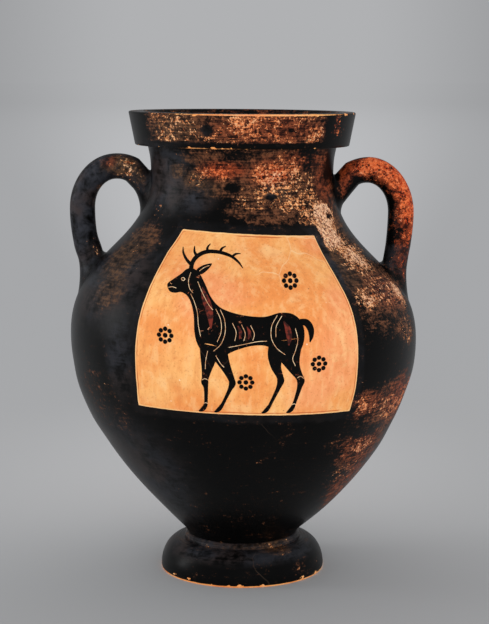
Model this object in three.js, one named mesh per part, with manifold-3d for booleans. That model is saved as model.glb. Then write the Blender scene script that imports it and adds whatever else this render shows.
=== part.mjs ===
// A terracotta amphora of the one-piece belly shape, made as a potter makes it: a rounded
// foot, a coil of clay smoothed round the joint above it, a body thrown in two sections, a
// neck, a flaring lip and two round handles. The pieces were luted together before firing,
// so each is a solid of its own and none of them moves.
// Millimetres, +Z up. The origin is the centre of the foot's resting ring, and the handles
// lie along X.

import * as THREE from "three";
import Module from "manifold-3d";
import { mergeVertices } from "three/addons/utils/BufferGeometryUtils.js";

// Foot
const foot_height = 27;
const foot_radius = 71.5;
const foot_crown_margin = 1.5; // flat top left outside the coil
const foot_edge_rise = 3.5; // from the ground up to the widest level
const foot_edge_inset = 0.8; // how far the bottom edge stands inside the widest level
const resting_ring_width = 10;
const recess_rise = 17; // depth of the hollow under the foot
const recess_throat_width = 6; // flat roof of the hollow round the throat
const foot_seat_width = 10; // ring of the foot's top that carries the body
const foot_side_share = 0.31;
const foot_top_share = 0.8;
const recess_side_share = 0.45;
const recess_top_share = 0.6;

// Coil smoothed round the joint of body and foot
const coil_width = 4.2;
const coil_height = 5.2;
const coil_shoulder_share = 0.55;

// Body, measured up from the foot's top
const base_radius = 46;
const base_flare_rise = 13;
const base_flare_radius = 54;
const base_flare_low_share = 0.5;
const base_lean_share = 0.22;
const base_flare_high_share = 0.35;
const belly_rise = 181; // up to the widest level
const belly_radius = 149.8;
const body_joint_rise = 123; // up to the joint of the two thrown sections
const swell_out_share = 0.99;
const swell_up_share = 0.51;
const belly_low_share = 0.11;
const wall_thickness = 7;
const floor_thickness = 9;

// Shoulder and neck
const shoulder_rise = 140; // from the widest level to the neck's narrowest
const neck_radius = 78.4;
const neck_joint_drop = 30; // below the neck's narrowest level
const belly_high_share = 0.5;
const neck_low_share = 0.49;
const neck_rise = 23.5; // from the narrowest level to the lip
const neck_top_radius = 81.1;
const neck_mid_share = 0.6;
const neck_end_rise_share = 0.25;
const neck_end_flare_share = 0.35;

// Lip
const lip_height = 28.5;
const lip_overhang = 10.9; // flat underside outside the neck
const lip_flare = 5.4;
const lip_edge_round = 1.5;
const rim_width = 11;
const mouth_hollow_share = 0.7;

// Handles, with a size of its own for each side where the two differ
const left_handle_radius = 10.8;
const right_handle_radius = 11;
const left_upright_inset = 12; // centre of the upright, inside the belly's width
const right_upright_inset = 12.9;
const left_upright_drop = 30; // levels below the neck's narrowest
const right_upright_drop = 35;
const left_neck_root_drop = 14.5;
const right_neck_root_drop = 17.5;
const left_shoulder_root_drop = 85;
const right_shoulder_root_drop = 86;
const left_arch_rise = 5.2; // centre of the arch's top, above the neck's narrowest
const right_arch_rise = 2.2;
const left_arch_top_share = 0.513; // of the way out from the neck to the upright
const right_arch_top_share = 0.504;
const root_flare = 3.4; // extra radius where a handle spreads onto the vessel
const root_flare_length = 30;
const root_depth = 13; // how far a handle's axis runs on behind the surface
const neck_root_angle = THREE.MathUtils.degToRad(48); // above level
const shoulder_root_angle = THREE.MathUtils.degToRad(70); // below level
const arch_share = 0.5523; // a quarter circle as a cubic curve
const upright_share = 0.3;
const shoulder_root_share = 0.42;
const neck_root_share = 0.4;
const luting_gap = 0.3; // between a handle or the coil and the wall it hugs

// Fineness
const turn_segments = 64;
const profile_samples = 60;
const foot_steps = 9;
const recess_steps = 5;
const coil_steps = 2;
const flare_steps = 3;
const lower_steps = 11;
const upper_steps = 15;
const neck_steps = 5;
const mouth_steps = 4;
const handle_steps = 30;
const handle_sides = 16;
const hair = 1e-6; // of a curve's length, for a slope taken between two near points

const foot_top = foot_height;
const coil_radius = base_radius + luting_gap + coil_width;
const crown_radius = coil_radius + foot_crown_margin;
const throat_radius = base_radius - foot_seat_width;
const lip_base_radius = neck_top_radius + lip_overhang;
const lip_top_radius = lip_base_radius + lip_flare;
const coil_top = foot_top + coil_height;
const flare_top = foot_top + base_flare_rise;
const body_joint = foot_top + body_joint_rise;
const belly_level = foot_top + belly_rise;
const neck_waist = belly_level + shoulder_rise;
const neck_joint = neck_waist - neck_joint_drop;
const lip_base = neck_waist + neck_rise;
const rim_level = lip_base + lip_height;

const left = new THREE.Vector3(-1, 0, 0);
const right = new THREE.Vector3(1, 0, 0);
const up = new THREE.Vector3(0, 0, 1);
const across = new THREE.Vector3(0, 1, 0);

const handles = [
  {
    name: "handle_left",
    side: left,
    radius: left_handle_radius,
    upright_reach: belly_radius - left_upright_inset,
    upright_level: neck_waist - left_upright_drop,
    arch_level: neck_waist + left_arch_rise,
    arch_top_share: left_arch_top_share,
    neck_root_level: neck_waist - left_neck_root_drop,
    shoulder_root_level: neck_waist - left_shoulder_root_drop,
  },
  {
    name: "handle_right",
    side: right,
    radius: right_handle_radius,
    upright_reach: belly_radius - right_upright_inset,
    upright_level: neck_waist - right_upright_drop,
    arch_level: neck_waist + right_arch_rise,
    arch_top_share: right_arch_top_share,
    neck_root_level: neck_waist - right_neck_root_drop,
    shoulder_root_level: neck_waist - right_shoulder_root_drop,
  },
];

const at = (r, z) => new THREE.Vector2(r, z);
const mix = THREE.MathUtils.lerp;
const bend = (a, b, c, d) => new THREE.CubicBezierCurve(a, b, c, d);

// The outside of body and neck, from the foot's top to the lip, as four joined curves.
function outerCurves() {
  const base = at(base_radius, foot_top);
  const flare = at(base_flare_radius, flare_top);
  const belly = at(belly_radius, belly_level);
  const waist = at(neck_radius, neck_waist);
  const top = at(neck_top_radius, lip_base);
  const low = (share) => mix(flare.y, belly.y, share);
  const slope = at(swell_out_share * (belly.x - flare.x), swell_up_share * (belly.y - flare.y));
  return [
    bend(
      base,
      at(mix(base.x, flare.x, base_lean_share), mix(base.y, flare.y, base_flare_low_share)),
      flare.clone().addScaledVector(slope, (-base_flare_high_share * base_flare_rise) / slope.length()),
      flare,
    ),
    bend(flare, flare.clone().add(slope), at(belly.x, low(1 - belly_low_share)), belly),
    bend(
      belly,
      at(belly.x, mix(belly.y, waist.y, belly_high_share)),
      at(waist.x, mix(waist.y, belly.y, neck_low_share)),
      waist,
    ),
    bend(
      waist,
      at(waist.x, mix(waist.y, top.y, neck_mid_share)),
      at(mix(top.x, waist.x, neck_end_flare_share), mix(top.y, waist.y, neck_end_rise_share)),
      top,
    ),
  ];
}

// The same outline moved inwards along its normals by a distance, as points.
function offsetOutline(distance) {
  const points = [];
  for (const curve of outerCurves()) {
    for (let i = 0; i <= profile_samples; i++) {
      const t = THREE.MathUtils.clamp(i / profile_samples, hair, 1 - hair);
      const p = curve.getPoint(t);
      const tangent = curve.getTangent(t);
      points.push(at(p.x - distance * tangent.y, p.y + distance * tangent.x));
    }
  }
  return points;
}

// The outline's radius at a height.
function radiusAt(outline, z) {
  const next = outline.findIndex((p) => p.y > z);
  if (next === 0) return outline[0].x;
  if (next < 0) return outline[outline.length - 1].x;
  const [a, b] = [outline[next - 1], outline[next]];
  return mix(a.x, b.x, (z - a.y) / (b.y - a.y));
}

const outside = offsetOutline(0);
const inside = offsetOutline(wall_thickness);

// Points of an outline at even heights between two levels.
function stretch(outline, from, to, steps) {
  return Array.from({ length: steps + 1 }, (_, i) => {
    const z = mix(from, to, i / steps);
    return at(radiusAt(outline, z), z);
  });
}

// A profile of radius and height turned about Z. It runs upwards on the outside, and
// starts and ends on the axis or closes on itself.
const lathe = (profile) => new THREE.LatheGeometry(profile, turn_segments).rotateX(Math.PI / 2);

function footGeometry() {
  const edge = at(foot_radius - foot_edge_inset, 0);
  const widest = at(foot_radius, foot_edge_rise);
  const crown = at(crown_radius, foot_top);
  const side = bend(
    widest,
    at(widest.x, mix(widest.y, crown.y, foot_side_share)),
    at(mix(crown.x, widest.x, foot_top_share), crown.y),
    crown,
  );
  const ring = at(edge.x - resting_ring_width, 0);
  const roof = at(throat_radius + recess_throat_width, recess_rise);
  const hollow = bend(
    roof,
    at(mix(roof.x, ring.x, recess_top_share), roof.y),
    at(ring.x, mix(ring.y, roof.y, recess_side_share)),
    ring,
  );
  return lathe([
    edge,
    ...side.getPoints(foot_steps),
    at(throat_radius, foot_top),
    at(throat_radius, recess_rise),
    ...hollow.getPoints(recess_steps),
    edge,
  ]);
}

function coilGeometry() {
  const hug = stretch(outside, foot_top, coil_top, coil_steps).map((p) => at(p.x + luting_gap, p.y));
  const foot = at(coil_radius, foot_top);
  return lathe([
    foot,
    at(foot.x, mix(foot_top, coil_top, coil_shoulder_share)),
    ...hug.reverse(),
    foot,
  ]);
}

function lowerBodyGeometry() {
  const floor = foot_top + floor_thickness;
  const wall = stretch(inside, flare_top, body_joint, lower_steps);
  return lathe([
    at(0, foot_top),
    ...stretch(outside, foot_top, coil_top, coil_steps),
    ...stretch(outside, coil_top, flare_top, flare_steps).slice(1),
    ...stretch(outside, flare_top, body_joint, lower_steps).slice(1),
    ...wall.reverse(),
    at(wall[wall.length - 1].x - wall_thickness, floor),
    at(0, floor),
  ]);
}

// A ring of wall between two levels, with flat faces that meet its neighbours'.
function wallGeometry(from, to, steps) {
  const out = stretch(outside, from, to, steps);
  return lathe([...out, ...stretch(inside, from, to, steps).reverse(), out[0]]);
}

function lipGeometry() {
  const throat = at(radiusAt(inside, lip_base), lip_base);
  const outer = at(lip_base_radius, lip_base);
  const slope = lip_flare / lip_height;
  const mouth = at(lip_top_radius - lip_edge_round - rim_width, rim_level);
  const hollow = bend(
    mouth,
    at(mix(mouth.x, throat.x, mouth_hollow_share), mix(mouth.y, throat.y, 1 - mouth_hollow_share)),
    at(throat.x, mix(mouth.y, throat.y, mouth_hollow_share)),
    throat,
  );
  return lathe([
    outer,
    at(lip_top_radius - lip_edge_round * slope, rim_level - lip_edge_round),
    at(lip_top_radius - lip_edge_round, rim_level),
    ...hollow.getPoints(mouth_steps),
    outer,
  ]);
}

// A handle's axis: up and out of the neck, over the arch, and down to the shoulder.
function handlePath(handle) {
  const place = (x, z) => handle.side.clone().multiplyScalar(x).addScaledVector(up, z);
  const direction = (angle) => place(Math.cos(angle), Math.sin(angle));
  const rooted = (level, angle) => {
    const surface = place(radiusAt(outside, level), level);
    return surface.addScaledVector(direction(angle), -root_depth);
  };
  const curve = (a, b, c, d) => new THREE.CubicBezierCurve3(a, b, c, d);
  const start = rooted(handle.neck_root_level, neck_root_angle);
  const end = rooted(handle.shoulder_root_level, shoulder_root_angle);
  const top_reach = mix(neck_radius, handle.upright_reach, handle.arch_top_share);
  const top = place(top_reach, handle.arch_level);
  const upright = place(handle.upright_reach, handle.upright_level);
  const climb = start.distanceTo(top);
  const fall = upright.distanceTo(end);
  const path = new THREE.CurvePath();
  path.add(
    curve(
      start,
      start.clone().addScaledVector(direction(neck_root_angle), neck_root_share * climb),
      top.clone().addScaledVector(handle.side, -neck_root_share * climb),
      top,
    ),
  );
  path.add(
    curve(
      top,
      top.clone().addScaledVector(handle.side, arch_share * (handle.upright_reach - top_reach)),
      upright.clone().addScaledVector(up, arch_share * (handle.arch_level - handle.upright_level)),
      upright,
    ),
  );
  path.add(
    curve(
      upright,
      upright.clone().addScaledVector(up, -upright_share * fall),
      end.clone().addScaledVector(direction(shoulder_root_angle), shoulder_root_share * fall),
      end,
    ),
  );
  return path;
}

// A round rod along the path, wider towards both ends, closed by a disc at each end.
function rodGeometry(handle) {
  const path = handlePath(handle);
  const length = path.getLength();
  const positions = [];
  const addPoint = (p) => positions.push(p.x, p.y, p.z);
  for (let i = 0; i <= handle_steps; i++) {
    const share = i / handle_steps;
    const to_end = Math.min(share, 1 - share) * length - root_depth;
    const spread = THREE.MathUtils.clamp(1 - to_end / root_flare_length, 0, 1);
    const radius = handle.radius + root_flare * spread ** 2;
    const centre = path.getPointAt(share);
    const normal = path.getTangentAt(THREE.MathUtils.clamp(share, hair, 1 - hair)).cross(across);
    for (let k = 0; k < handle_sides; k++) {
      const angle = (2 * Math.PI * k) / handle_sides;
      addPoint(
        centre
          .clone()
          .addScaledVector(normal, radius * Math.cos(angle))
          .addScaledVector(across, radius * Math.sin(angle)),
      );
    }
  }
  const first = positions.length / 3;
  addPoint(path.getPointAt(0));
  addPoint(path.getPointAt(1));
  const faces = [];
  const last_ring = handle_steps * handle_sides;
  for (let k = 0; k < handle_sides; k++) {
    const next = (k + 1) % handle_sides;
    for (let i = 0; i < handle_steps; i++) {
      const a = i * handle_sides;
      const b = a + handle_sides;
      faces.push(a + k, b + k, a + next, a + next, b + k, b + next);
    }
    faces.push(first, k, next, first + 1, last_ring + next, last_ring + k);
  }
  const geometry = new THREE.BufferGeometry();
  geometry.setAttribute("position", new THREE.Float32BufferAttribute(positions, 3));
  geometry.setIndex(faces);
  return geometry;
}

const wasm = await Module();
wasm.setup();

function solidOf(geometry) {
  const bare = geometry.clone();
  bare.deleteAttribute("normal");
  bare.deleteAttribute("uv");
  const merged = mergeVertices(bare);
  const made = new wasm.Mesh({
    numProp: 3,
    vertProperties: merged.attributes.position.array,
    triVerts: new Uint32Array(merged.index.array),
  });
  return new wasm.Manifold(made);
}

function geometryOf(solid) {
  const mesh = solid.getMesh();
  const geometry = new THREE.BufferGeometry();
  geometry.setAttribute("position", new THREE.BufferAttribute(mesh.vertProperties, 3));
  geometry.setIndex(new THREE.BufferAttribute(mesh.triVerts, 1));
  return geometry;
}

// What a handle has to keep clear of: the vessel's outside, filled, with the luting gap.
function coreSolid() {
  const steps = lower_steps + upper_steps;
  const outer = offsetOutline(-luting_gap);
  return solidOf(
    lathe([
      at(0, foot_top),
      ...stretch(outer, foot_top, lip_base, 2 * steps),
      at(0, lip_base),
    ]),
  );
}

const core = coreSolid();

function handleGeometry(handle) {
  return geometryOf(solidOf(rodGeometry(handle)).subtract(core));
}

const glaze = { roughness: 0.28, metalness: 0 };
const black_slip = new THREE.MeshStandardMaterial({ color: "#17130f", ...glaze });
const worn_slip = new THREE.MeshStandardMaterial({ color: "#5a3220", roughness: 0.5, metalness: 0 });
const red_fired_slip = new THREE.MeshStandardMaterial({ color: "#8c3a1a", roughness: 0.4, metalness: 0 });
const painted_clay = new THREE.MeshStandardMaterial({ color: "#3a2216", ...glaze });

const handle_slip = { handle_left: black_slip, handle_right: red_fired_slip };

function piece(name, geometry, material) {
  const mesh = new THREE.Mesh(geometry, material);
  mesh.name = name;
  return mesh;
}

const amphora = new THREE.Group();
amphora.add(
  piece("foot", footGeometry(), black_slip),
  piece("foot_coil", coilGeometry(), worn_slip),
  piece("lower_body", lowerBodyGeometry(), black_slip),
  piece("upper_body", wallGeometry(body_joint, neck_joint, upper_steps), painted_clay),
  piece("neck", wallGeometry(neck_joint, lip_base, neck_steps), worn_slip),
  piece("lip", lipGeometry(), worn_slip),
);
for (const handle of handles) {
  amphora.add(piece(handle.name, handleGeometry(handle), handle_slip[handle.name]));
}

export default amphora;
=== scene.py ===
import math

import bpy
import numpy as np
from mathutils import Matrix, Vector
from mathutils.geometry import delaunay_2d_cdt


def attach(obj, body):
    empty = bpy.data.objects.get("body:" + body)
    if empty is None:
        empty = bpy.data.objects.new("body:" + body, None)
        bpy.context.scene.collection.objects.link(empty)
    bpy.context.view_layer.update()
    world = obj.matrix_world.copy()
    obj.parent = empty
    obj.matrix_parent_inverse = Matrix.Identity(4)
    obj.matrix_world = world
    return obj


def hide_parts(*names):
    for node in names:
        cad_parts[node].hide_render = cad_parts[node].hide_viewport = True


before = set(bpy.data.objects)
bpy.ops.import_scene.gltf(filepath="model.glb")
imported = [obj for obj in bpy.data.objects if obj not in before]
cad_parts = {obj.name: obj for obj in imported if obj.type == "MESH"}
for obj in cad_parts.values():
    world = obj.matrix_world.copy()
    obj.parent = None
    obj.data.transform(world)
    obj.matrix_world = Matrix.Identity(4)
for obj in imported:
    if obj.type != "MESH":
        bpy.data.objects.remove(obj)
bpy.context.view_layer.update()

# Sizes of the vessel in millimetres. Shapes are worked out in millimetres and become metres
# when they are put into a mesh. A turn is an angle in degrees round the axis, 0 at the front
# and growing towards +X, and a level is a height above the ground before the wall leans.
MM = 0.001
FOOT_TOP = 27.0
FLARE_TOP = 40.0
BODY_JOINT = 150.0
BELLY_LEVEL = 208.0
NECK_JOINT = 318.0
NECK_WAIST = 348.0
LIP_BASE = 371.5
RIM = 400.0
FOOT_RADIUS = 71.5
THROAT_RADIUS = 36.0
FOOT_SEAT = 52.0  # where the foot's round side meets its flat top
RECESS_RISE = 17.0
RECESS_FLAT = 42.0
RECESS_EDGE = 60.7
BASE_RADIUS = 46.0
FLARE_RADIUS = 54.0
COIL_RADIUS = 50.5
COIL_TOP = 32.2
BELLY_RADIUS = 149.8
NECK_RADIUS = 78.4
NECK_TOP_RADIUS = 81.1
WALL = 7.0
BODY_FLOOR = 36.0
INNER_LOW = 46.5
LIP_BASE_RADIUS = 92.0
LIP_TOP_RADIUS = 97.4
RIM_WIDTH = 11.0
COLUMNS = 432
ROW_STEP = 1.6
FINE_ROW = 0.12  # a narrow row at each end of a run keeps the shading even across a joint
RIDGE = 2.6  # the width of the fine ridges that turning leaves on the foot and the coil
ALL_SLIP = -20.0  # the bare mark far from any clay
ALL_CLAY = 6.0  # the bare mark deep within the clay


# Curves

def cubic(t, a, b, c, d):
    """Four points weighted by (1-t)^3, 3(1-t)^2 t, 3(1-t) t^2 and t^3."""
    return (1 - t) ** 3 * a + 3 * (1 - t) ** 2 * t * b + 3 * (1 - t) * t ** 2 * c + t ** 3 * d


def bezier(points, samples):
    """The cubic curve of four points, at even steps of t from 0 to 1."""
    t = np.linspace(0.0, 1.0, samples)[:, None]
    return cubic(t, *(np.asarray(p, float) for p in points))


def joined(*curves):
    """The curves end to end, each without the point that the one before it ended on."""
    return np.vstack([curves[0]] + [c[1:] for c in curves[1:]])


def line(a, b, samples=2):
    """Even points from a to b."""
    return np.linspace(a, b, samples)


def lengths(curve):
    """How far along the curve each of its points lies."""
    return np.concatenate([[0.0], np.cumsum(np.linalg.norm(np.diff(curve, axis=0), axis=1))])


def read_at(stops, along, values):
    """Rows of values, known at the lengths along, read off at the lengths stops."""
    return np.stack([np.interp(stops, along, column) for column in values.T], axis=1)


def even(curve, step):
    """The curve resampled at even lengths of about step, with one fine row at each end."""
    along = lengths(curve)
    stops = np.linspace(0.0, along[-1], max(2, int(round(along[-1] / step)) + 1))
    stops = np.sort(np.concatenate([stops, [FINE_ROW, along[-1] - FINE_ROW]]))
    return read_at(stops, along, curve)


def smooth_step(x, low, high):
    """0 below low, 1 above high, and between them t^3 (6t^2 - 15t + 10)."""
    t = np.clip((x - low) / (high - low), 0.0, 1.0)
    return t ** 3 * (6 * t ** 2 - 15 * t + 10)


def between(x, rise, fall):
    """A smooth step up over the rise times one down over the fall."""
    return smooth_step(x, *rise) * (1 - smooth_step(x, *fall))


BODY_OUTLINE = joined(
    bezier([(BASE_RADIUS, FOOT_TOP), (47.8, 33.5), (50.7, 37.0), (FLARE_RADIUS, FLARE_TOP)], 60),
    bezier([(FLARE_RADIUS, FLARE_TOP), (148.8, 125.7), (BELLY_RADIUS, 189.5),
            (BELLY_RADIUS, BELLY_LEVEL)], 400),
    bezier([(BELLY_RADIUS, BELLY_LEVEL), (BELLY_RADIUS, 278.0), (NECK_RADIUS, 279.4),
            (NECK_RADIUS, NECK_WAIST)], 400),
    bezier([(NECK_RADIUS, NECK_WAIST), (NECK_RADIUS, 362.1), (80.2, 365.6),
            (NECK_TOP_RADIUS, LIP_BASE)], 60),
)


def offset_outline(outline, distance):
    """The outline moved along its normals, which are its slope turned a quarter."""
    slope = np.gradient(outline, axis=0)
    slope /= np.linalg.norm(slope, axis=1)[:, None]
    return outline + distance * np.stack([slope[:, 1], -slope[:, 0]], axis=1)


INNER_OUTLINE = offset_outline(BODY_OUTLINE[60:], -WALL)


def outer_radius(level):
    """The body's radius at a level, read off its outline."""
    return np.interp(level, BODY_OUTLINE[:, 1], BODY_OUTLINE[:, 0])


def inner_radius(level):
    """The radius of the hollow at a level, with the rings that the potter's fingers leave."""
    plain = np.interp(level, INNER_OUTLINE[:, 1], INNER_OUTLINE[:, 0])
    fade = 1 - smooth_step(level, NECK_JOINT, 332.0)
    rings = 0.35 * np.sin(level * 2 * math.pi / 9.5) + 0.15 * np.sin(level * 2 * math.pi / 5.3)
    return plain + fade * rings


def stretch(radius_at, low, high, step):
    """The part of a wall between two levels as even points, going up."""
    level = np.linspace(low, high, 400)
    return even(np.stack([radius_at(level), level], axis=1), step)


# The lean of the hand-thrown body

BODY_LEAN = 0.021
SHOULDER_LEAN = 0.014
LIP_LEAN = 0.008
BODY_DRIFT = 1.1
JOINT_DRIFT = 1.2  # how much less the wall drifts round the joint below the belly


def lean(level):
    """How far the wall drops for each millimetre towards +X, as the sum of three soft steps."""
    body = BODY_LEAN * between(level, (FOOT_TOP, 70.0), (300.0, 346.0))
    shoulder = SHOULDER_LEAN * between(level, (225.0, 285.0), (300.0, 346.0))
    return body + shoulder + LIP_LEAN * smooth_step(level, 330.0, 371.0)


def drift(level):
    """How far the wall stands towards +X, in millimetres, as the difference of two soft steps."""
    whole = BODY_DRIFT * between(level, (FOOT_TOP, 60.0), (240.0, 300.0))
    return whole - JOINT_DRIFT * between(level, (112.0, 140.0), (158.0, 190.0))


def settle(points, share=1.0):
    """Each point sinks by lean times its X and moves sideways by drift, times its share."""
    x, y, z = points[..., 0], points[..., 1], points[..., 2]
    return np.stack([x + share * drift(z), y, z - share * lean(z) * x], axis=-1)


def turned(radius, turn, level):
    """Points at a radius, a turn in degrees and a level."""
    angle = np.radians(turn)
    return np.stack([radius * np.sin(angle), -radius * np.cos(angle), level + 0 * angle], axis=-1)


def turn_of(points):
    """The turn of each point, in degrees."""
    return np.degrees(np.arctan2(points[..., 0], -points[..., 1]))


# Meshes

def new_object(name, data):
    """An object with the data, in the scene."""
    thing = bpy.data.objects.new(name, data)
    bpy.context.scene.collection.objects.link(thing)
    return thing


def new_mesh(name, vertices, faces, crease=40.0):
    """A mesh object at the origin from points in millimetres, smooth but for its creases."""
    mesh = bpy.data.meshes.new(name)
    mesh.from_pydata((np.asarray(vertices) * MM).tolist(), [], faces)
    mesh.polygons.foreach_set("use_smooth", np.full(len(mesh.polygons), True))
    mesh.update()
    mesh.set_sharp_from_angle(angle=math.radians(crease))
    return new_object(name, mesh)


def marked(piece, values, **own):
    """The piece with a number for each vertex, or one for all, under each name.

    The piece's own numbers take the place of values of the same name. Materials read them.
    """
    for name, numbers in {**values, **own}.items():
        attribute = piece.data.attributes.new(name, "FLOAT", "POINT")
        attribute.data.foreach_set("value", np.full(len(piece.data.vertices), numbers, np.float32))
    return piece


def ring_quads(rows, columns, closed):
    """Corners of a grid's quads, row by row. Columns run round, and rows too if closed."""
    row = np.arange(rows if closed else rows - 1)[:, None]
    column = np.arange(columns)[None, :]
    above = (row + 1) % rows * columns
    beside = (column + 1) % columns
    here = row * columns
    corners = [here + column, here + beside, above + beside, above + column]
    return np.stack([c.ravel() for c in corners], axis=1)


def fan(pole, first, columns, up):
    """Triangles between a pole and the ring of points from first on, facing up or down."""
    here = first + np.arange(columns)
    beside = np.roll(here, -1)
    pair = [here, beside] if up else [beside, here]
    return np.stack([np.full(columns, pole)] + pair, axis=1).tolist()


def lathe(runs):
    """A profile of radius and level carried round the axis, up on the outside.

    The runs join end to end. A profile that starts and ends on the axis gets a pole there,
    and any other closes on itself. Returns points, faces, and each point's turn, level and
    the number of its run.
    """
    profile, run_of = [], []
    for number, run in enumerate(runs):
        part = run if number == 0 else run[1:]
        profile.append(part)
        run_of += [number] * len(part)
    profile = np.vstack(profile)
    run_of = np.array(run_of)
    poles = profile[0, 0] == 0.0
    if poles:
        low, high = profile[0, 1], profile[-1, 1]
        profile, run_of = profile[1:-1], run_of[1:-1]
    else:
        profile, run_of = profile[:-1], run_of[:-1]
    rows = len(profile)
    radius = np.repeat(profile[:, 0], COLUMNS)
    level = np.repeat(profile[:, 1], COLUMNS)
    turns = np.tile(np.arange(COLUMNS) * 360.0 / COLUMNS - 180.0, rows)
    run = np.repeat(run_of, COLUMNS)
    points = turned(radius, turns, level)
    faces = ring_quads(rows, COLUMNS, not poles).tolist()
    if poles:
        points = np.vstack([points, [(0, 0, low), (0, 0, high)]])
        turns, level = np.append(turns, [0, 0]), np.append(level, [low, high])
        run = np.append(run, [run[0], run[-1]])
        faces += fan(rows * COLUMNS, 0, COLUMNS, False)
        faces += fan(rows * COLUMNS + 1, (rows - 1) * COLUMNS, COLUMNS, True)
    return points, faces, turns, level, run


def thrown(name, runs):
    """The lathed runs as a mesh that leans, and each point's turn, level and run before that."""
    points, faces, turn, level, run = lathe(runs)
    return new_mesh(name, settle(points), faces), turn, level, run


def finish_piece(piece, material, node):
    """The piece gets its material, rides on the one body and stands for its CAD node."""
    piece.data.materials.append(material)
    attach(piece, "root")
    if node:
        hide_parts(node)


# Wear and painted sheen, as soft spots on the vessel: turn, level, half widths in degrees and
# millimetres, and strength. Where spots overlap, the strongest counts. Slip is filmed where it thinned
# to a brown film, worn where flecks of clay show through it, reddened where it fired red, bleached
# where the clay is bare and pale, and greyed where the slip has dulled to grey and, in some spots,
# where grey sheen of reflected light is painted on. Kept spots stayed black.

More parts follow.
